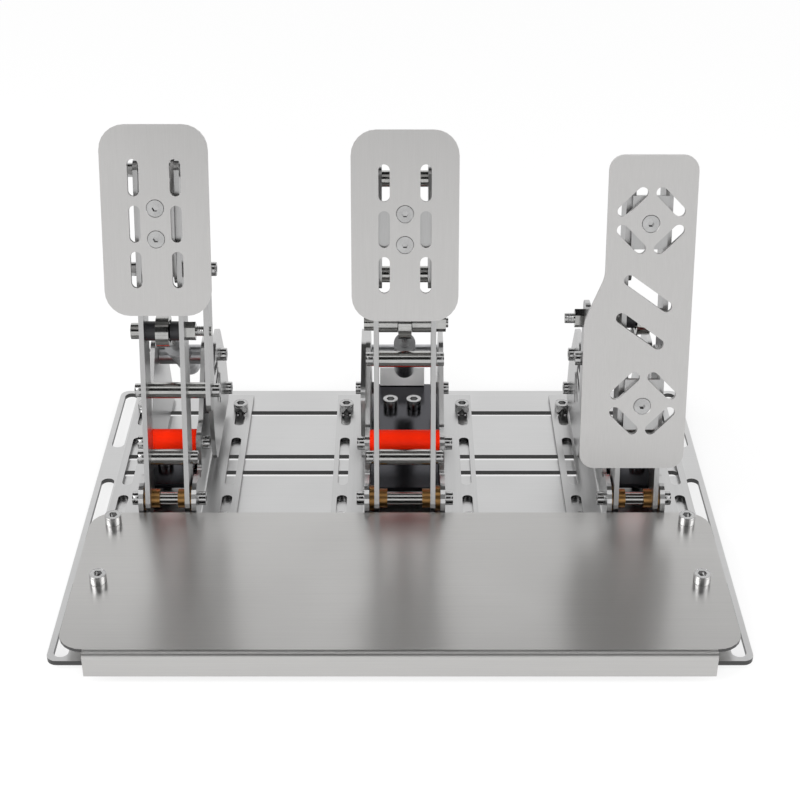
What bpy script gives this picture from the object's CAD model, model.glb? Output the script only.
"""Studio scene of a sim racing pedal set.

Brushed stainless plates, turned rods, knurled screws and sprung struts stand on one base plate.
"""

import logging
import math
from dataclasses import dataclass, field
from enum import Enum
from typing import Any, Iterator, Protocol

import bpy
import numpy as np
from mathutils import Matrix, Vector


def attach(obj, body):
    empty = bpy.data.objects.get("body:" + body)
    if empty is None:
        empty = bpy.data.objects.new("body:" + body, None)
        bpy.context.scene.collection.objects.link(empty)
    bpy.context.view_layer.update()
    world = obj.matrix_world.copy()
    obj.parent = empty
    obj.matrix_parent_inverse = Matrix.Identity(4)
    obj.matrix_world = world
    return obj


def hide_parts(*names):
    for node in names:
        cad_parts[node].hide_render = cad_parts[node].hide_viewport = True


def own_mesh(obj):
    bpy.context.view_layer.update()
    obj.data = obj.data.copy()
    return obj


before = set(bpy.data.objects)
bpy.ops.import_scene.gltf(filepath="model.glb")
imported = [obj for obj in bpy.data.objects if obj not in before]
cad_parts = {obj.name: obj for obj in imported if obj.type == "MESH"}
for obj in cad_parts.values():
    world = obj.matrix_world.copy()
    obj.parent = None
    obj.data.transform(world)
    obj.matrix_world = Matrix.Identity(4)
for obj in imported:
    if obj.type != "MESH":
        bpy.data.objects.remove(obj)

log = logging.getLogger("pedal_set")
MM = 0.001
Place = tuple[float, float]
Point = tuple[float, float, float]

# Nearly all values of a noise texture lie between these two
NOISE_LOW, NOISE_HIGH = 0.3, 0.7


class Axis(Enum):
    """The way that brushing lines run, in the part's own frame."""

    X = 0
    Y = 1
    Z = 2


class Side(Enum):
    """The driver's left or right of a pedal."""

    LEFT = -1
    RIGHT = 1


class Pedal(Enum):
    """The three pedals, from left to right."""

    CLUTCH = "clutch"
    BRAKE = "brake"
    THROTTLE = "throttle"


# Materials


def linear(hex_colour: str) -> tuple[float, float, float, float]:
    """Turns an sRGB hex colour into linear light.

    Args:
        hex_colour: Six hex digits after a hash.

    Returns:
        Red, green, blue and an alpha of one.
    """
    parts = [int(hex_colour[i : i + 2], 16) / 255 for i in (1, 3, 5)]
    red, green, blue = (c / 12.92 if c <= 0.04045 else ((c + 0.055) / 1.055) ** 2.4 for c in parts)
    return red, green, blue, 1.0


def add_node(
    tree: bpy.types.NodeTree,
    kind: str,
    inputs: dict[Any, Any] | None = None,
    **settings: Any,
) -> bpy.types.Node:
    """Adds a shader node, sets its properties and fills its inputs.

    Args:
        tree: The node tree to add to.
        kind: Blender's name for the node's type.
        inputs: Input name or index to a value, or to an output socket that is linked to it.
        settings: Properties of the node itself.

    Returns:
        The new node.
    """
    node = tree.nodes.new(kind)
    for name, value in settings.items():
        setattr(node, name, value)
    for key, value in (inputs or {}).items():
        if isinstance(value, bpy.types.NodeSocket):
            tree.links.new(value, node.inputs[key])
        else:
            node.inputs[key].default_value = value
    return node


def new_material(name: str) -> tuple[bpy.types.Material, bpy.types.NodeTree, bpy.types.Node]:
    """Starts a material with an empty tree and an output node.

    Args:
        name: What the material is.

    Returns:
        The material, its node tree and its output node.
    """
    material = bpy.data.materials.new(name)
    material.use_nodes = True
    tree = material.node_tree
    tree.nodes.clear()
    return material, tree, add_node(tree, "ShaderNodeOutputMaterial")


class Finish(Protocol):
    """A surface finish that can be made into a material."""

    name: str

    def build(self) -> bpy.types.Material:
        """Makes the material."""
        ...


@dataclass(frozen=True)
class BrushedStainless:
    """Stainless sheet drawn under an abrasive belt: fine straight lines that smear reflections.

    The real lines are about 0.1 mm apart, too fine to show, so they are drawn at line_mm.
    Roughness starts at 0.276: a range that also went lower, such as 0.23 to 0.32, left contour
    lines in the denoised render, and one as wide from 0.276 up left none.
    """

    name: str
    light: str
    dark: str
    roughness: float = 0.276
    haze: float = 0.035
    lines: Axis = Axis.X
    lean_deg: float = 0.0
    line_mm: float = 0.45
    run_mm: float = 70.0
    cloud_mm: float = 60.0
    smear: float = 0.55
    relief: float = 0.10
    relief_mm: float = 0.05
    cut: str | None = None
    cut_below_mm: float = 1000.0
    cut_behind_mm: float = -1000.0
    cut_slope: float = 0.5

    def cut_edges(
        self, tree: bpy.types.NodeTree, coordinates: bpy.types.Node
    ) -> bpy.types.NodeSocket:
        """Finds the upright edges that a laser left, in the part of the piece that lies flat.

        Args:
            tree: The node tree to add to.
            coordinates: The tree's texture coordinates.

        Returns:
            One on a cut edge, zero on the sheet's faces.
        """
        separate = "ShaderNodeSeparateXYZ"
        facing = add_node(tree, separate, {"Vector": coordinates.outputs["Normal"]}).outputs["Z"]
        place = add_node(tree, separate, {"Vector": coordinates.outputs["Object"]}).outputs
        tests = [
            add_node(tree, "ShaderNodeMath", values, operation=operation).outputs["Value"]
            for values, operation in (
                ({0: facing, 1: 0.0, 2: self.cut_slope}, "COMPARE"),
                ({0: place["Z"], 1: self.cut_below_mm * MM}, "LESS_THAN"),
                ({0: place["Y"], 1: self.cut_behind_mm * MM}, "GREATER_THAN"),
            )
        ]
        edge = tests[0]
        for test in tests[1:]:
            both = {0: edge, 1: test}
            edge = add_node(tree, "ShaderNodeMath", both, operation="MULTIPLY").outputs["Value"]
        return edge

    def build(self) -> bpy.types.Material:
        """Makes the sheet's material.

        Returns:
            A metal whose tint and relief follow the brushing lines, with broad faint clouds of wear
            in its gloss, and with dark oxide on its cut edges if the finish has a colour for them.
        """
        material, tree, output = new_material(self.name)
        coordinates = add_node(tree, "ShaderNodeTexCoord")
        place = coordinates.outputs["Object"]
        across = [1 / (self.line_mm * MM)] * 3
        across[self.lines.value] = 1 / (self.run_mm * MM)
        turned = add_node(
            tree,
            "ShaderNodeMapping",
            {"Vector": place, "Rotation": (math.radians(self.lean_deg), 0, 0)},
        )
        along = add_node(
            tree, "ShaderNodeMapping", {"Vector": turned.outputs["Vector"], "Scale": across}
        )
        lines = add_node(
            tree,
            "ShaderNodeTexNoise",
            {"Vector": along.outputs["Vector"], "Scale": 1.0, "Detail": 3.0, "Roughness": 0.6},
        ).outputs["Fac"]
        cloud = add_node(
            tree,
            "ShaderNodeTexNoise",
            {"Vector": place, "Scale": 1 / (self.cloud_mm * MM), "Detail": 2.0},
        ).outputs["Fac"]
        tint = add_node(
            tree,
            "ShaderNodeMix",
            {"Factor": lines, "A": linear(self.dark), "B": linear(self.light)},
            data_type="RGBA",
        )
        if self.cut:
            edge = self.cut_edges(tree, coordinates)
            tint = add_node(
                tree,
                "ShaderNodeMix",
                {"Factor": edge, "A": tint.outputs["Result"], "B": linear(self.cut)},
                data_type="RGBA",
            )
        gloss = add_node(
            tree,
            "ShaderNodeMapRange",
            {
                "Value": cloud,
                "From Min": NOISE_LOW,
                "From Max": NOISE_HIGH,
                "To Min": self.roughness,
                "To Max": self.roughness + self.haze,
            },
        )
        bump = add_node(
            tree,
            "ShaderNodeBump",
            {"Height": lines, "Strength": self.relief, "Distance": self.relief_mm * MM},
        )
        # Light spreads most across the lines: the tangent runs along them, turned by a quarter
        run = [float(axis == self.lines) for axis in Axis]
        tangent = add_node(tree, "ShaderNodeCombineXYZ", dict(zip("XYZ", run)))
        quarter_turn = 0.25
        shader = add_node(
            tree,
            "ShaderNodeBsdfPrincipled",
            {
                "Base Color": tint.outputs["Result"],
                "Metallic": 1.0,
                "Roughness": gloss.outputs["Result"],
                "Normal": bump.outputs["Normal"],
                "Anisotropic": self.smear,
                "Anisotropic Rotation": quarter_turn,
                "Tangent": tangent.outputs["Vector"],
            },
        )
        tree.links.new(shader.outputs["BSDF"], output.inputs["Surface"])
        return material


@dataclass(frozen=True)
class TurnedMetal:
    """Metal turned on a lathe or drawn as wire: a bright skin with faint tool marks and wear."""

    name: str
    light: str
    dark: str
    roughness: float
    mark_mm: float = 0.5
    wear_mm: float = 6.0
    relief: float = 0.06
    relief_mm: float = 0.05
    duller: float = 0.06
    brighter: float = 0.05

    def build(self) -> bpy.types.Material:
        """Makes the turned metal.

        Returns:
            A metal with tool marks in its relief, and with wear in its tint and gloss.
        """
        material, tree, output = new_material(self.name)
        place = add_node(tree, "ShaderNodeTexCoord").outputs["Object"]
        marks = add_node(
            tree,
            "ShaderNodeTexNoise",
            {"Vector": place, "Scale": 1 / (self.mark_mm * MM), "Detail": 2.0},
        ).outputs["Fac"]
        wear = add_node(
            tree,
            "ShaderNodeTexNoise",
            {"Vector": place, "Scale": 1 / (self.wear_mm * MM), "Detail": 4.0},
        ).outputs["Fac"]
        tint = add_node(
            tree,
            "ShaderNodeMix",
            {"Factor": wear, "A": linear(self.dark), "B": linear(self.light)},
            data_type="RGBA",
        )
        gloss = add_node(
            tree,
            "ShaderNodeMapRange",
            {
                "Value": wear,
                "From Min": NOISE_LOW,
                "From Max": NOISE_HIGH,
                "To Min": self.roughness + self.duller,
                "To Max": self.roughness - self.brighter,
            },
        )
        bump = add_node(
            tree,
            "ShaderNodeBump",
            {"Height": marks, "Strength": self.relief, "Distance": self.relief_mm * MM},
        )
        shader = add_node(
            tree,
            "ShaderNodeBsdfPrincipled",
            {
                "Base Color": tint.outputs["Result"],
                "Metallic": 1.0,
                "Roughness": gloss.outputs["Result"],
                "Normal": bump.outputs["Normal"],
            },
        )
        tree.links.new(shader.outputs["BSDF"], output.inputs["Surface"])
        return material


@dataclass(frozen=True)
class MouldedPolymer:
    """Cast polyurethane, acetal or rubber: a dense colour, a fine grain and a soft sheen."""

    name: str
    light: str
    dark: str
    roughness: float
    grain_mm: float = 0.4
    mottle_mm: float = 9.0
    relief: float = 0.12
    relief_mm: float = 0.1
    gloss_spread: float = 0.06
    ior: float = 1.5
    sheen: float = 0.5

    def build(self) -> bpy.types.Material:
        """Makes the polymer.

        Returns:
            A dielectric with a mottled tint and a fine grain in its relief and gloss.
        """
        material, tree, output = new_material(self.name)
        place = add_node(tree, "ShaderNodeTexCoord").outputs["Object"]
        grain = add_node(
            tree,
            "ShaderNodeTexNoise",
            {"Vector": place, "Scale": 1 / (self.grain_mm * MM), "Detail": 3.0},
        ).outputs["Fac"]
        mottle = add_node(
            tree,
            "ShaderNodeTexNoise",
            {"Vector": place, "Scale": 1 / (self.mottle_mm * MM), "Detail": 2.0},
        ).outputs["Fac"]
        tint = add_node(
            tree,
            "ShaderNodeMix",
            {"Factor": mottle, "A": linear(self.dark), "B": linear(self.light)},
            data_type="RGBA",
        )
        gloss = add_node(
            tree,
            "ShaderNodeMapRange",
            {
                "Value": grain,
                "From Min": NOISE_LOW,
                "From Max": NOISE_HIGH,
                "To Min": self.roughness - self.gloss_spread,
                "To Max": self.roughness + self.gloss_spread,
            },
        )
        bump = add_node(
            tree,
            "ShaderNodeBump",
            {"Height": grain, "Strength": self.relief, "Distance": self.relief_mm * MM},
        )
        shader = add_node(
            tree,
            "ShaderNodeBsdfPrincipled",
            {
                "Base Color": tint.outputs["Result"],
                "Roughness": gloss.outputs["Result"],
                "Normal": bump.outputs["Normal"],
                "IOR": self.ior,
                "Specular IOR Level": self.sheen,
            },
        )
        tree.links.new(shader.outputs["BSDF"], output.inputs["Surface"])
        return material


@dataclass(frozen=True)
class PolishedSheet:
    """Polished steel sheet with a tab left as rolled: a dark mirror, and pale satin on the tab."""

    name: str
    polished: str
    tab: str
    roughness: float = 0.14
    tab_roughness: float = 0.5
    tab_metal: float = 0.1
    tab_from_mm: float = 21.6
    tab_blend_mm: float = 0.3
    wear_mm: float = 8.0
    wear_haze: float = 0.08

    def build(self) -> bpy.types.Material:
        """Makes the sheet's material.

        Returns:
            A metal whose tint, gloss and metal share change at the tab's foot, with faint wear.
        """
        material, tree, output = new_material(self.name)
        place = add_node(tree, "ShaderNodeTexCoord").outputs["Object"]
        height = add_node(tree, "ShaderNodeSeparateXYZ", {"Vector": place}).outputs["Z"]
        foot = self.tab_from_mm * MM
        on_tab = add_node(
            tree,
            "ShaderNodeMapRange",
            {"Value": height, "From Min": foot, "From Max": foot + self.tab_blend_mm * MM},
        ).outputs["Result"]
        wear = add_node(
            tree,
            "ShaderNodeTexNoise",
            {"Vector": place, "Scale": 1 / (self.wear_mm * MM), "Detail": 4.0},
        ).outputs["Fac"]
        tint = add_node(
            tree,
            "ShaderNodeMix",
            {"Factor": on_tab, "A": linear(self.polished), "B": linear(self.tab)},
            data_type="RGBA",
        )
        gloss = add_node(
            tree,
            "ShaderNodeMapRange",
            {"Value": on_tab, "To Min": self.roughness, "To Max": self.tab_roughness},
        )
        worn = add_node(
            tree,
            "ShaderNodeMath",
            {0: wear, 1: self.wear_haze, 2: gloss.outputs["Result"]},
            operation="MULTIPLY_ADD",
        )
        metal = add_node(
            tree, "ShaderNodeMapRange", {"Value": on_tab, "To Min": 1.0, "To Max": self.tab_metal}
        )
        shader = add_node(
            tree,
            "ShaderNodeBsdfPrincipled",
            {
                "Base Color": tint.outputs["Result"],
                "Metallic": metal.outputs["Result"],
                "Roughness": worn.outputs["Value"],
            },
        )
        tree.links.new(shader.outputs["BSDF"], output.inputs["Surface"])
        return material


class Finishes:
    """Every finish on the pedal set, each made into a material once."""

    oxide = "#5A5A5A"
    base = BrushedStainless("brushed_stainless_base", "#DADADA", "#CECECE", cut=oxide)
    heel = BrushedStainless(
        "brushed_stainless_heel",
        "#D4D3D1",
        "#C6C5C4",
        smear=0.75,
        cut=oxide,
        cut_behind_mm=-152.2,
    )
    bracket = BrushedStainless(
        "brushed_stainless_brackets",
        "#CCCCCC",
        "#BEBEBE",
        lines=Axis.Y,
        cut=oxide,
        cut_below_mm=9.3,
    )
    arm = BrushedStainless(
        "brushed_stainless_arms", "#BFBFBF", "#AEAEAE", lines=Axis.Z, lean_deg=14.0
    )
    plate = BrushedStainless(
        "brushed_stainless_pedal_plates",
        "#CFCECD",
        "#C5C4C3",
        roughness=0.34,
        haze=0.09,
        lines=Axis.Z,
        lean_deg=15.0,
        smear=0.4,
    )
    screw = TurnedMetal("bright_steel_screws", "#C8C8C8", "#A8A8A8", 0.16, relief=0.02)
    rod = TurnedMetal("turned_steel_rods", "#C6C6C4", "#A6A6A4", 0.14)
    spring = TurnedMetal("drawn_spring_wire", "#A9A9AD", "#85858A", 0.33)
    bronze = TurnedMetal("sintered_bronze", "#B48C58", "#86623A", 0.33, relief=0.15)
    anodised = TurnedMetal("clear_anodised_aluminium", "#BEBFC1", "#A6A7A9", 0.34)
    tie = PolishedSheet("polished_tie_plate_steel", "#4C4C50", "#E6E6E6")
    orange = MouldedPolymer("cast_orange_polyurethane", "#E22600", "#D81E00", 0.48, sheen=0.08)
    rubber = MouldedPolymer("moulded_black_elastomer", "#2B2B2D", "#1C1C1E", 0.62)
    acetal = MouldedPolymer("black_acetal", "#232326", "#161618", 0.42)

    def __init__(self) -> None:
        """Starts with no material made."""
        self.made: dict[str, bpy.types.Material] = {}

    def material(self, finish: Finish) -> bpy.types.Material:
        """Gives a finish's material, making it the first time.

        Args:
            finish: One of this class's finishes.

        Returns:
            The one material of that finish.
        """
        if finish.name not in self.made:
            self.made[finish.name] = finish.build()
        return self.made[finish.name]

    def dress(self, finish: Finish, *nodes: str) -> None:
        """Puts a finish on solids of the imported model.

        Args:
            finish: The finish to use.
            nodes: Names of the solids.
        """
        for node in nodes:
            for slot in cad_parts[node].material_slots:
                slot.material = self.material(finish)


# Surfaces


@dataclass
class Surface:
    """A closed mesh that grows by grids of points."""

    points: list[np.ndarray] = field(default_factory=list)
    faces: list[np.ndarray] = field(default_factory=list)
    caps: list[list[int]] = field(default_factory=list)
    count: int = 0

    def add_grid(self, grid: np.ndarray, close_u: bool) -> None:
        """Adds a grid that wraps round in its second direction.

        Args:
            grid: Points of shape (u, v, 3), in metres, turning outwards to the right of rising u.
            close_u: True where the last row joins the first, False where flat caps close the ends.
        """
        rows, columns = grid.shape[:2]
        index = self.count + np.arange(rows * columns).reshape(rows, columns)
        upper = np.roll(index, -1, axis=0) if close_u else index[1:]
        lower = index if close_u else index[:-1]
        right_upper, right_lower = np.roll(upper, -1, axis=1), np.roll(lower, -1, axis=1)
        quads = np.stack([lower, right_lower, right_upper, upper], axis=-1)
        self.faces.append(quads.reshape(-1, 4))
        if not close_u:
            self.caps += [index[0, ::-1].tolist(), index[-1].tolist()]
        self.points.append(grid.reshape(-1, 3))
        self.count += rows * columns

    def make(
        self, name: str, body: str, material: bpy.types.Material
    ) -> bpy.types.Object:
        """Turns the grids into a piece that rides on a body.

        Args:
            name: The piece's name.
            body: The body it moves with.
            material: Its material.

        Returns:
            The new object, at the origin.
        """
        mesh = bpy.data.meshes.new(name)
        faces = np.concatenate(self.faces).tolist() + self.caps
        mesh.from_pydata(np.concatenate(self.points).tolist(), [], faces)
        mesh.polygons.foreach_set("use_smooth", np.ones(len(mesh.polygons), dtype=bool))
        mesh.materials.append(material)
        mesh.update()
        piece = bpy.data.objects.new(name, mesh)
        bpy.context.scene.collection.objects.link(piece)
        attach(piece, body)
        log.info("%s rides on %s with %d faces", name, body, len(mesh.polygons))
        return piece


def placed(grid: np.ndarray, at: Matrix) -> np.ndarray:
    """Moves a grid in millimetres by a matrix and gives it in metres.

    Args:
        grid: Points of shape (u, v, 3).
        at: The place and turn, in millimetres.

    Returns:
        The moved points.
    """
    m = np.array(at)
    return (grid @ m[:3, :3].T + m[:3, 3]) * MM


def turned_grid(
    profile: np.ndarray, sides: int, ridge: np.ndarray | None = None, ridges: int = 0
) -> np.ndarray:
    """A profile of (radius, height) spun about Z: x = r cos a, y = r sin a, z = h.

    Args:
        profile: Radii and heights, one row each.
        sides: Steps round the turn.
        ridge: Extra radius per profile row at the crest of a knurl, where there is one.
        ridges: How many crests go round.

    Returns:
        Points of shape (rows, sides, 3).
    """
    angle = np.linspace(0, 2 * np.pi, sides, endpoint=False)
    wave = 0.5 + 0.5 * np.cos(ridges * angle)
    lift = np.zeros(len(profile)) if ridge is None else ridge
    radius = profile[:, :1] + lift[:, None] * wave[None, :]
    height = np.broadcast_to(profile[:, 1:], radius.shape)
    return np.stack([radius * np.cos(angle), radius * np.sin(angle), height], axis=-1)


@dataclass(frozen=True)
class Knurl:
    """The straight knurl of a cap screw's head, in mm, a hair outside the solid head."""

    bury: float = 0.6
    proud: float = 0.02
    foot: float = 0.2
    ridge_from: float = 0.6
    ridge_to_top: float = 0.9
    bevel: float = 0.35
    over_top: float = 0.03
    ridge: float = 0.025
    ridges: int = 30
    sides: int = 90

    def grid(self, size: float) -> np.ndarray:
        """Spins a band whose radius rises and falls round the turn.

        Args:
            size: The thread's diameter, which sets the head's diameter (1.5 d + 1) and height (d).

        Returns:
            A closed grid round the head, its height from the seat up.
        """
        r, h = 0.75 * size + 0.5, size
        inside, skin, top = r - self.bury, r + self.proud, h + self.over_top
        profile = np.array(
            [
                [inside, top],
                [inside, self.foot],
                [skin, self.foot],
                [skin, self.ridge_from],
                [skin, h - self.ridge_to_top],
                [r - self.bevel, top],
            ]
        )
        ridge = np.array([0, 0, 0, self.ridge, self.ridge, 0])
        return turned_grid(profile, self.sides, ridge, self.ridges)


def threaded_sleeve(depth: float, low: float, high: float) -> np.ndarray:
    """An M6 thread: radius = core + depth times a triangle wave of (height / pitch - turn).

    Args:
        depth: Height of the thread over its core, in mm.
        low: Where the thread starts.
        high: Where it ends.

    Returns:
        Points of shape (rows, sides, 3).
    """
    core, pitch, sides, rows_per_turn = 2.98, 1.0, 24, 6
    height = np.linspace(low, high, int((high - low) / pitch * rows_per_turn) + 1)
    angle = np.linspace(0, 2 * np.pi, sides, endpoint=False)
    phase = (height[:, None] / pitch - angle[None, :] / (2 * np.pi)) % 1.0
    fade = np.clip(np.minimum(height - low, high - height) / pitch, 0, 1)[:, None]
    radius = core + depth * fade * (1 - np.abs(2 * phase - 1))
    rise = np.broadcast_to(height[:, None], radius.shape)
    return np.stack([radius * np.cos(angle), radius * np.sin(angle), rise], axis=-1)


def wound_wire(radius: float, wire: float, low: float, high: float, turns: float) -> np.ndarray:
    """A compression spring: a round wire carried along a helix whose end turns lie closed.

    The height is the integral of a pitch that is near the wire's thickness at each end.

    Args:
        radius: Middle radius of the coil, in mm.
        wire: Wire diameter.
        low: Middle of the wire at the start.
        high: Middle of the wire at the end.
        turns: Number of turns.

    Returns:
        Points of shape (steps, sides, 3).
    """
    steps_per_turn, sides = 28, 10
    closed_turns, easing_turns, closed_pitch = 0.6, 0.5, wire * 1.04
    steps = int(turns * steps_per_turn)
    t = np.linspace(0, turns, steps)
    from_end = np.minimum(t, turns - t)
    open_share = np.clip(from_end - closed_turns, 0, easing_turns) / easing_turns
    closed = np.cumsum(closed_pitch * (1 - open_share)) * turns / steps
    opened = np.cumsum(open_share)
    share = (opened - opened[0]) / (opened[-1] - opened[0])
    height = low + closed - closed[0] + share * (high - low - closed[-1] + closed[0])
    angle, level = 2 * np.pi * t, np.zeros(steps)
    out = np.stack([np.cos(angle), np.sin(angle), level], axis=-1)
    middle = radius * out + np.stack([level, level, height], axis=-1)
    along = np.gradient(middle, axis=0)
    along /= np.linalg.norm(along, axis=1, keepdims=True)
    side = np.cross(along, out)
    ring = np.linspace(0, 2 * np.pi, sides, endpoint=False)[None, :, None]
    spread = np.cos(ring) * out[:, None, :] + np.sin(ring) * side[:, None, :]
    return middle[:, None, :] + wire / 2 * spread


# The object


@dataclass(frozen=True)
class Layout:
    """Places shared by the sub-assemblies, in mm.

    A place is (s, z): s is behind the base plate's front edge, and z is above the plate's top.
    """

    base_mid: float = 144.0
    deck: float = 6.2
    axle: Place = (138.0, 17.0)
    rear: Place = (236.0, 66.0)
    sector_bolt: Place = (254.0, 29.5)
    heel_top: float = 15.0
    clamp_rows: Place = (130.0, 268.5)
    tie_half: float = 8.0

    def at(self, x: float, s: float, z: float) -> Matrix:
        """Gives the matrix of a place in the side view."""
        return Matrix.Translation((x, s - self.base_mid, self.deck + z))


LAYOUT = Layout()
TO_SIDE = {side: Matrix.Rotation(side.value * math.pi / 2, 4, "Y") for side in Side}
KNURL = Knurl()
M5, M6 = 5.0, 6.0


@dataclass
class BaseAssembly:
    """Base plate, heel plate on its stand-offs, and the screws and nuts that clamp brackets."""

    heel_x: float = 177.0
    heel_rows: Place = (54.0, 114.0)

    def dress(self, finishes: Finishes) -> None:
        """Gives the plates and fasteners their finishes.

        Args:
            finishes: The object's finishes.
        """
        finishes.dress(finishes.base, "base_plate")
        finishes.dress(finishes.heel, "heel_plate")
        finishes.dress(finishes.screw, "heel_screws", "flange_screws", "flange_nuts")
        finishes.dress(finishes.rod, "heel_standoffs")

    def build(self, finishes: Finishes, clamps: list[Matrix]) -> None:
        """Cuts the knurl of every screw head that stands on the plates.

        Args:
            finishes: The object's finishes.
            clamps: Where the pedals' clamping screws seat.
        """
        heel = [
            LAYOUT.at(side.value * self.heel_x, s, LAYOUT.heel_top)
            for side in Side
            for s in self.heel_rows
        ]
        knurl = Surface()
        for seat in heel + clamps:
            knurl.add_grid(placed(KNURL.grid(M6), seat), True)
        knurl.make("plate_screw_knurl", "frame", finishes.material(finishes.screw))


@dataclass
class PedalAssembly:
    """One pedal: brackets, axle, stop and sector plate on the frame, and the arm on the axle.

    Sizes are in mm. Room is the air between two sheets, and rods and pin are places along the arm.
    """

    pedal: Pedal
    x: float
    lean: float
    gap: float
    wall_room: float
    clamp_x: float
    stop: Place
    sector_side: Side
    sector_room: float
    rods: tuple[float, float, float, float]
    pin: float
    pin_tip: float
    outrigger_in: float = 0.0
    outrigger_rods: tuple[int, ...] = ()
    tie_screws: Place = (0.0, 181.0)
    sheet: float = 3.0
    thread_depth: float = 0.2

    @property
    def outrigger(self) -> bool:
        """True where a plate stands beside the arm."""
        return bool(self.outrigger_rods)

    @property
    def arm_out(self) -> float:
        """Outer face of an arm plate, from the pedal's middle."""
        return self.gap / 2 + self.sheet

    @property
    def wall_out(self) -> float:
        """Outer face of a bracket's wall, from the pedal's middle."""
        return self.arm_out + self.wall_room + self.sheet

    @property
    def arm_frame(self) -> Matrix:
        """The arm's own frame: X across, Z along the arm from the axle."""
        return LAYOUT.at(self.x, *LAYOUT.axle) @ Matrix.Rotation(-math.radians(self.lean), 4, "X")

    def node(self, part: str) -> str:
        """Names one of this pedal's solids."""
        return f"{self.pedal.value}_{part}"

    def clamps(self) -> list[Matrix]:
        """Gives the seats of the screws that clamp the flanges and the tie plate.

        Returns:
            One matrix for each screw, its Z out of the seat.
        """
        tie_x, tie_s = self.tie_screws
        places = [(tie_x, LAYOUT.tie_half, tie_s, LAYOUT.heel_top)]
        places += [(0.0, self.clamp_x, s, self.sheet) for s in LAYOUT.clamp_rows]
        return [
            LAYOUT.at(self.x + middle + side.value * half, s, z)
            for middle, half, s, z in places
            for side in Side
        ]

    def frame_seats(self) -> Iterator[Matrix]:
        """Yields the seats of the screws in the axle, stop rod, rear pin and sector plate.

        Yields:
            One matrix for each screw, its Z out of the seat.
        """
        for side in Side:
            beside = self.sector_room + self.sheet if side == self.sector_side else 0.0
            stack = self.wall_out + beside
            places = [(LAYOUT.axle, self.wall_out), (self.stop, self.wall_out)]
            places += [(LAYOUT.sector_bolt, stack)] + [(LAYOUT.rear, stack)] * self.outrigger
            for place, out in places:
                yield LAYOUT.at(self.x + side.value * out, *place) @ TO_SIDE[side]

    def arm_seats(self) -> Iterator[Matrix]:
        """Yields the seats of the screws in the cross rods, some of them outside the outrigger.

        Yields:
            One matrix for each screw, its Z out of the seat.
        """
        for side in Side:
            for i, t in enumerate(self.rods):
                far = side == self.sector_side and i in self.outrigger_rods
                out = self.outrigger_in + self.sheet if far else self.arm_out
                seat = Matrix.Translation((side.value * out, 0, t))
                yield self.arm_frame @ seat @ TO_SIDE[side]

    def pin_threads(self) -> list[Place]:
        """Gives the stretches of the upper pin's thread that show, from the pedal's middle out.

        Returns:
            Start and end of each stretch.
        """
        nut, thin_nut, clear = 6.0, 3.0, 0.2
        first = self.arm_out + nut + clear
        if not self.outrigger:
            return [(first, self.pin_tip - clear)]
        face = self.outrigger_in + self.sheet
        if self.pin_tip < face + nut:
            return [(first, self.outrigger_in - clear)]
        inner = (first, self.outrigger_in - thin_nut - clear)
        return [inner, (face + nut + clear, self.pin_tip - clear)]

    def dress(self, finishes: Finishes) -> None:
        """Gives the pedal's solids their finishes.

        Args:
            finishes: The object's finishes.
        """
        rows = [
            (finishes.bracket, ("left_bracket", "right_bracket")),
            (finishes.arm, ("left_arm", "right_arm", "plate_mount")),
            (finishes.plate, ("pedal_plate",)),
            (finishes.rod, ("cross_rods", "upper_pin")),
            (finishes.screw, ("arm_screws",)),
            (finishes.bronze, ("bushes",)),
            (finishes.rod if self.pedal == Pedal.BRAKE else finishes.acetal, ("pin_spacers",)),
        ]
        if self.outrigger:
            rows += [(finishes.arm, ("outrigger",)), (finishes.acetal, ("hall_sensor",))]
        for finish, parts in rows:
            finishes.dress(finish, *map(self.node, parts))

    def build(self, finishes: Finishes) -> None:
        """Cuts the knurls of the pedal's screw heads and the thread on its upper pin.

        Args:
            finishes: The object's finishes.
        """
        bright = finishes.material(finishes.screw)
        for label, body, seats in (
            ("frame_knurl", "frame", self.frame_seats()),
            ("arm_knurl", self.node("pedal"), self.arm_seats()),
        ):
            knurl = Surface()
            for seat in seats:
                knurl.add_grid(placed(KNURL.grid(M5), seat), True)
            knurl.make(self.node(label), body, bright)
        side = self.sector_side if self.outrigger else Side.RIGHT
        seat = self.arm_frame @ Matrix.Translation((0, 0, self.pin)) @ TO_SIDE[side]
        thread = Surface()
        for low, high in self.pin_threads():
            thread.add_grid(placed(threaded_sleeve(self.thread_depth, low, high), seat), False)
        thread.make(self.node("pin_thread"), self.node("pedal"), bright)


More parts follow.
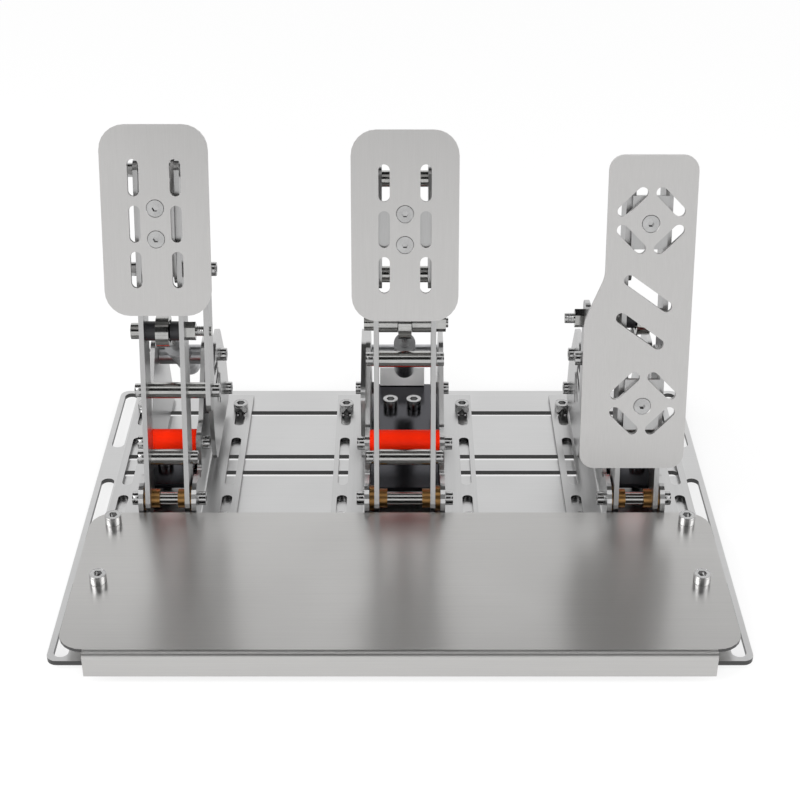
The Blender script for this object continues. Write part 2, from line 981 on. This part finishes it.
@dataclass
class StrutAssembly:
    """The strut from the rear pin to the arm's pin, which pushes the pedal back."""

    pedal: PedalAssembly
    nut_back: float = 16.0
    thread_length: float = 5.0
    thread_depth: float = 0.25

    @property
    def pin(self) -> Place:
        """The arm's pin in the side view.

        Returns:
            Its place (s, z).
        """
        lean = math.radians(self.pedal.lean)
        s, z = LAYOUT.axle
        return s + self.pedal.pin * math.sin(lean), z + self.pedal.pin * math.cos(lean)

    @property
    def reach(self) -> float:
        """Distance from the rear pin to the arm's pin."""
        return math.dist(self.pin, LAYOUT.rear)

    @property
    def strut_frame(self) -> Matrix:
        """The strut's own frame: Z from the rear pin towards the arm's pin.

        Returns:
            The frame's matrix, in mm.
        """
        back, rise = self.pin[0] - LAYOUT.rear[0], self.pin[1] - LAYOUT.rear[1]
        tilt = Matrix.Rotation(math.atan2(-back, rise), 4, "X")
        return LAYOUT.at(self.pedal.x, *LAYOUT.rear) @ tilt

    def squash(self, piece: bpy.types.Object, seat: float, keep: float) -> None:
        """Lets a soft piece shorten along the strut as the rod slides in.

        Args:
            piece: The spring or the stack of pucks.
            seat: Its fixed end, in mm along the strut.
            keep: Its shortest length over its length at rest.
        """
        at = self.strut_frame
        self.pedal.node("rod_slide")
        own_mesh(piece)

    def thread(self, finishes: Finishes) -> None:
        """Cuts the thread that shows between the jam nut and the plain rod.

        Args:
            finishes: The object's finishes.
        """
        high = self.reach - self.nut_back
        sleeve = Surface()
        grid = threaded_sleeve(self.thread_depth, high - self.thread_length, high)
        sleeve.add_grid(placed(grid, self.strut_frame), False)
        name, body = self.pedal.node("rod_thread"), self.pedal.node("plunger")
        sleeve.make(name, body, finishes.material(finishes.screw))


@dataclass
class SpringStrut(StrutAssembly):
    """Clutch or throttle strut: a cartridge with a coil spring behind the push rod's piston."""

    coil_d: float = 8.0
    wire: float = 1.2
    start: float = -39.7
    end: float = 23.0
    turns: float = 11.0
    end_gap: float = 0.3
    keep: float = 0.5

    def dress(self, finishes: Finishes) -> None:
        """Gives the cartridge and the push rod their finishes."""
        finishes.dress(finishes.anodised, self.pedal.node("cartridge"))
        finishes.dress(finishes.rod, self.pedal.node("push_rod"))

    def build(self, finishes: Finishes) -> None:
        """Winds the spring with closed ends, and cuts the rod's thread.

        Args:
            finishes: The object's finishes.
        """
        coil = Surface()
        low = self.start + self.wire / 2 + self.end_gap
        high = self.end - self.wire / 2 - self.end_gap
        grid = wound_wire(self.coil_d / 2, self.wire, low, high, self.turns)
        coil.add_grid(placed(grid, self.strut_frame), False)
        name, body = self.pedal.node("spring"), self.pedal.node("strut")
        material = finishes.material(finishes.spring)
        piece = coil.make(f"{name}_wire", body, material)
        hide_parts(name)
        self.squash(piece, self.start, self.keep)
        self.thread(finishes)


@dataclass
class LoadCellStrut(StrutAssembly):
    """Brake strut: a cartridge with rubber pucks between the rod's piston and a load cell."""

    puck_d: float = 9.8
    first: float = -31.2
    last: float = 23.0
    pucks: int = 4
    gap: float = 0.5
    bulge: float = 0.5
    rounding: float = 0.6
    rounded_share: float = 0.12
    rows: int = 15
    sides: int = 40
    keep: float = 0.76

    def dress(self, finishes: Finishes) -> None:
        """Gives the cartridge, the load cell and the push rod their finishes."""
        finishes.dress(finishes.anodised, self.pedal.node("cartridge"))
        finishes.dress(finishes.rod, self.pedal.node("push_rod"), self.pedal.node("load_cell"))

    def build(self, finishes: Finishes) -> None:
        """Moulds the pucks and cuts the rod's thread.

        Each puck is spun from a barrel: radius = r - bulge (1 - sin(pi share)), less a quarter
        round of squared falloff at both edges.

        Args:
            finishes: The object's finishes.
        """
        stack = Surface()
        pitch = (self.last - self.first) / self.pucks
        share = np.linspace(0, 1, self.rows)
        from_edge = np.clip(np.minimum(share, 1 - share) / self.rounded_share, 0, 1)
        edge = self.rounding * (1 - from_edge) ** 2
        barrel = self.puck_d / 2 - self.bulge + self.bulge * np.sin(np.pi * share) - edge
        for i in range(self.pucks):
            height = self.first + i * pitch + (pitch - self.gap) * share
            profile = np.stack([barrel, height], axis=-1)
            grid = turned_grid(profile, self.sides)
            stack.add_grid(placed(grid, self.strut_frame), False)
        material = finishes.material(finishes.rubber)
        piece = stack.make("brake_pucks", "brake_strut", material)
        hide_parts("brake_elastomers")
        self.squash(piece, self.first, self.keep)
        self.thread(finishes)


@dataclass
class SharedHardware:
    """Solids that are grouped across the three pedals."""

    def dress(self, finishes: Finishes) -> None:
        """Gives the axles, rods, sleeves, pins, screws, sector and tie plates their finishes.

        Args:
            finishes: The object's finishes.
        """
        finishes.dress(finishes.rod, "axles", "stop_rods", "rear_pins")
        finishes.dress(finishes.screw, "frame_screws")
        finishes.dress(finishes.orange, "stop_sleeves")
        finishes.dress(finishes.bracket, "sector_plates")
        finishes.dress(finishes.tie, "tie_plates")


# The studio


@dataclass
class Studio:
    """A pale floor, soft lamps, black cards, a white background and the photograph's camera."""

    camera_at: Point = (0.0, -0.8665, 0.6081)
    pitch_deg: float = 30.8
    lens_mm: float = 74.2
    sensor_mm: float = 36.0
    floor_size: float = 8.0
    floor_white: str = "#F2F2F2"
    floor_mirrored: float = 0.68
    floor_near: float = 0.5
    floor_far: float = 2.0
    floor_glow_near: float = 0.7
    ambient: float = 0.75
    card_black: str = "#202020"
    card_radius: float = 2.2
    card_steps: int = 13
    lamps_aim: Point = (0.0, 0.02, 0.1)

    def background(self, tree: bpy.types.NodeTree) -> bpy.types.NodeSocket:
        """Adds the test for rays that see the background: straight, mirrored or through glass.

        Args:
            tree: The node tree to add to.

        Returns:
            One for those rays, zero for rays that only carry light.
        """
        path = add_node(tree, "ShaderNodeLightPath").outputs
        seen = path["Is Camera Ray"]
        for kind in ("Is Glossy Ray", "Is Transmission Ray"):
            either = {0: seen, 1: path[kind]}
            seen = add_node(tree, "ShaderNodeMath", either, operation="MAXIMUM").outputs["Value"]
        return seen

    def build_world(self) -> None:
        """Makes a world that is white to look at and dimmer as light."""
        world = bpy.data.worlds.new("studio_white")
        bpy.context.scene.world = world
        world.use_nodes = True
        tree = world.node_tree
        tree.nodes.clear()
        light, seen = (
            add_node(tree, "ShaderNodeBackground", {"Color": (1, 1, 1, 1), "Strength": strength})
            for strength in (self.ambient, 1.0)
        )
        mix = add_node(
            tree,
            "ShaderNodeMixShader",
            {
                0: self.background(tree),
                1: light.outputs["Background"],
                2: seen.outputs["Background"],
            },
        )
        add_node(tree, "ShaderNodeOutputWorld", {"Surface": mix.outputs["Shader"]})

    def build_floor(self) -> None:
        """Makes the pale floor.

        It keeps a faint shadow near the object, glows as white as the background far from it, so
        that no horizon shows, and is dimmer in the mirror of bright metal.
        """
        material, tree, output = new_material("matt_white_floor")
        paint = add_node(tree, "ShaderNodeBsdfDiffuse", {"Color": linear(self.floor_white)})
        path = add_node(tree, "ShaderNodeLightPath")
        strength = add_node(
            tree,
            "ShaderNodeMapRange",
            {"Value": path.outputs["Is Glossy Ray"], "To Min": 1.0, "To Max": self.floor_mirrored},
        )
        glow = add_node(
            tree,
            "ShaderNodeEmission",
            {"Color": (1, 1, 1, 1), "Strength": strength.outputs["Result"]},
        )
        place = add_node(tree, "ShaderNodeTexCoord").outputs["Object"]
        away = add_node(tree, "ShaderNodeVectorMath", {0: place}, operation="LENGTH")
        fade = add_node(
            tree,
            "ShaderNodeMapRange",
            {
                "Value": away.outputs["Value"],
                "From Min": self.floor_near,
                "From Max": self.floor_far,
                "To Min": self.floor_glow_near,
                "To Max": 1.0,
            },
        )
        share = add_node(
            tree,
            "ShaderNodeMath",
            {0: self.background(tree), 1: fade.outputs["Result"]},
            operation="MULTIPLY",
        )
        mix = add_node(
            tree,
            "ShaderNodeMixShader",
            {0: share.outputs["Value"], 1: paint.outputs["BSDF"], 2: glow.outputs["Emission"]},
        )
        tree.links.new(mix.outputs["Shader"], output.inputs["Surface"])
        half = self.floor_size / 2
        corners = [(-half, -half, 0), (half, -half, 0), (half, half, 0), (-half, half, 0)]
        mesh = bpy.data.meshes.new("floor")
        mesh.from_pydata(corners, [], [(0, 1, 2, 3)])
        mesh.materials.append(material)
        floor = bpy.data.objects.new("floor", mesh)
        bpy.context.scene.collection.objects.link(floor)

    def build_card(self, name: str, low_deg: float, high_deg: float, width: float) -> None:
        """Bends a black card over the object, for polished metal to mirror as a dark band.

        The card is part of a cylinder about X, out of the camera's sight: y = -r cos a and
        z = r sin a, where a rises from the front horizon.

        Args:
            name: The card's name.
            low_deg: Angle of its first edge above the front horizon.
            high_deg: Angle of its last edge.
            width: Its size along X, in metres.
        """
        material, tree, output = new_material("matt_black_card")
        paint = add_node(tree, "ShaderNodeBsdfDiffuse", {"Color": linear(self.card_black)})
        tree.links.new(paint.outputs["BSDF"], output.inputs["Surface"])
        angle = np.radians(np.linspace(low_deg, high_deg, self.card_steps))[:, None]
        across = np.linspace(-1, 1, 2) * width / 2
        back, up = -self.card_radius * np.cos(angle), self.card_radius * np.sin(angle)
        points = np.stack(np.broadcast_arrays(across, back, up), axis=-1).reshape(-1, 3)
        index = np.arange(len(points)).reshape(-1, 2)
        faces = np.stack([index[:-1, 0], index[:-1, 1], index[1:, 1], index[1:, 0]], axis=-1)
        mesh = bpy.data.meshes.new(name)
        mesh.from_pydata(points.tolist(), [], faces.tolist())
        mesh.materials.append(material)
        card = bpy.data.objects.new(name, mesh)
        card.visible_camera = card.visible_diffuse = card.visible_shadow = False
        bpy.context.scene.collection.objects.link(card)

    def build_lamp(
        self, name: str, at: Point, size: float, watts: float, mirrored: bool = True
    ) -> None:
        """Hangs a square soft lamp that faces the object.

        Args:
            name: The lamp's name.
            at: Its place, in metres.
            size: Its side, in metres.
            watts: Its power.
            mirrored: Whether bright metal shows it.
        """
        data = bpy.data.lights.new(name, "AREA")
        data.shape, data.size, data.energy = "SQUARE", size, watts
        lamp = bpy.data.objects.new(name, data)
        lamp.location = at
        lamp.visible_glossy = mirrored
        beam = Vector(self.lamps_aim) - lamp.location
        lamp.rotation_euler = beam.to_track_quat("-Z", "Y").to_euler()
        bpy.context.scene.collection.objects.link(lamp)

    def build_camera(self) -> None:
        """Stands the camera where the photograph was taken from."""
        data = bpy.data.cameras.new("camera")
        data.lens, data.sensor_width = self.lens_mm, self.sensor_mm
        camera = bpy.data.objects.new("camera", data)
        camera.location = self.camera_at
        camera.rotation_euler = (math.radians(90 - self.pitch_deg), 0, 0)
        bpy.context.scene.collection.objects.link(camera)
        bpy.context.scene.camera = camera

    def build(self) -> None:
        """Sets up the whole studio."""
        bpy.context.scene.view_settings.view_transform = "Standard"
        self.build_camera()
        self.build_world()
        self.build_floor()
        self.build_card("front_card", low_deg=22.0, high_deg=62.0, width=1.8)
        self.build_card("rear_card", low_deg=84.0, high_deg=128.0, width=4.4)
        self.build_lamp("key_softbox", at=(-1.8, -0.8, 1.4), size=1.5, watts=30.0)
        self.build_lamp("fill_softbox", at=(1.9, -0.7, 1.2), size=1.5, watts=18.0)
        self.build_lamp(
            "front_softbox", at=(0.0, -1.3, 0.6), size=0.8, watts=16.0, mirrored=False
        )


def pedals() -> list[PedalAssembly]:
    """Gives the three pedals with their own sizes.

    Returns:
        Clutch, brake and throttle.
    """
    clutch = PedalAssembly(
        Pedal.CLUTCH,
        x=-145.0,
        lean=16.5,
        gap=21.5,
        wall_room=1.25,
        clamp_x=33.5,
        stop=(174.0, 36.0),
        sector_side=Side.RIGHT,
        sector_room=3.8,
        rods=(27, 70, 146, 206),
        pin=107.5,
        pin_tip=29.5,
        outrigger_in=25.5,
        outrigger_rods=(1, 2),
    )
    brake = PedalAssembly(
        Pedal.BRAKE,
        x=3.0,
        lean=16.0,
        gap=32.0,
        wall_room=3.25,
        clamp_x=40.5,
        stop=(168.5, 38.8),
        sector_side=Side.LEFT,
        sector_room=0.0,
        rods=(27, 90, 143, 201),
        pin=113.0,
        pin_tip=26.5,
        tie_screws=(-1.5, 254.0),
    )
    throttle = PedalAssembly(
        Pedal.THROTTLE,
        x=147.0,
        lean=12.5,
        gap=21.5,
        wall_room=1.25,
        clamp_x=33.5,
        stop=(171.5, 36.6),
        sector_side=Side.LEFT,
        sector_room=9.0,
        rods=(42, 92, 150, 207),
        pin=117.5,
        pin_tip=47.0,
        outrigger_in=32.0,
        outrigger_rods=(1,),
    )
    return [clutch, brake, throttle]


def main() -> None:
    """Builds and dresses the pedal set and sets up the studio."""
    logging.basicConfig(level=logging.INFO, format="%(message)s")
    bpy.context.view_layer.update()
    finishes = Finishes()
    sets = pedals()
    base = BaseAssembly()
    base.dress(finishes)
    base.build(finishes, [seat for pedal in sets for seat in pedal.clamps()])
    SharedHardware().dress(finishes)
    for pedal in sets:
        strut = LoadCellStrut(pedal) if pedal.pedal == Pedal.BRAKE else SpringStrut(pedal)
        for part in (pedal, strut):
            part.dress(finishes)
            part.build(finishes)
    Studio().build()


if __name__ == "__main__":
    main()
